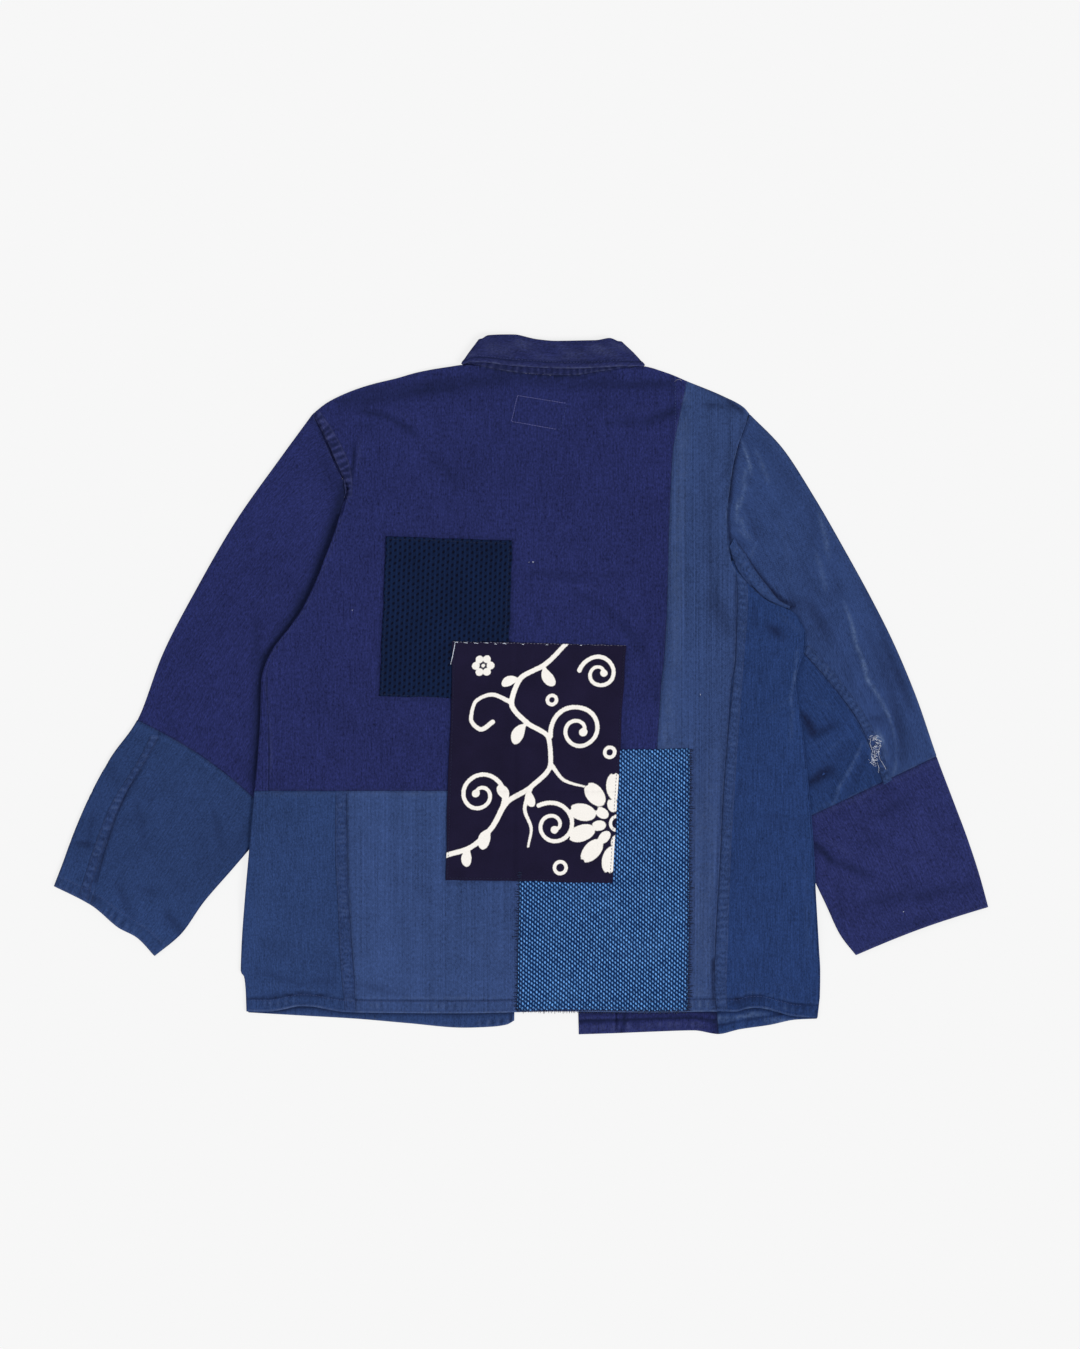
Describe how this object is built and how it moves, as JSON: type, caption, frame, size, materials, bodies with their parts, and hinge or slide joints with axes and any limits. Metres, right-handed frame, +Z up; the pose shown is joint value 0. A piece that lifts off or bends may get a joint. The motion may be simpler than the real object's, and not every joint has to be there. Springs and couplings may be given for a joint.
{
  "type": "patched boro jacket",
  "caption": "Patchwork work jacket in purple-navy and faded blue cotton, laid flat with its back up and its sleeves down, with a turned-down collar and square patches.",
  "frame": {"origin": "middle of the footprint, on the surface that the jacket lies on", "axes": "+X across the jacket towards its right sleeve as seen from above, +Y from the hem to the collar, +Z up, out of the back"},
  "size_m": [1.029, 0.7693, 0.0104],
  "materials": {
    "cotton_purple": "worn purple-navy cotton drill, matt, washed, with pale seam edges",
    "herringbone_blue": "faded mid-blue herringbone cotton, matt, with fine vertical streaks",
    "twill_blue": "faded blue cotton twill, matt",
    "knit_navy": "dark teal-navy pique cloth with staggered black pits, matt",
    "print_navy": "near-black navy cotton with off-white resist print, matt",
    "basket_indigo": "mid-indigo basket weave with pale staggered dashes, coarse",
    "button_navy": "dark navy plastic, satin"
  },
  "bodies": {
    "root": {"back_main": "cotton_purple", "back_lower": "herringbone_blue", "back_right": "herringbone_blue", "front_left_upper": "cotton_purple", "front_left_lower": "twill_blue", "front_right_side": "twill_blue", "front_right_centre": "cotton_purple", "collar_fall": "cotton_purple", "collar_stand": "cotton_purple", "patch_knit": "knit_navy", "patch_print": "print_navy", "patch_basket": "basket_indigo", "sleeve_left_upper": "cotton_purple", "sleeve_left_lower_top": "twill_blue", "sleeve_left_lower_under": "twill_blue", "sleeve_right_upper": "herringbone_blue", "sleeve_right_under": "twill_blue", "sleeve_right_cuff": "cotton_purple", "button_1": "button_navy", "button_2": "button_navy", "button_3": "button_navy", "button_4": "button_navy", "button_5": "button_navy"}
  },
  "joints": []
}
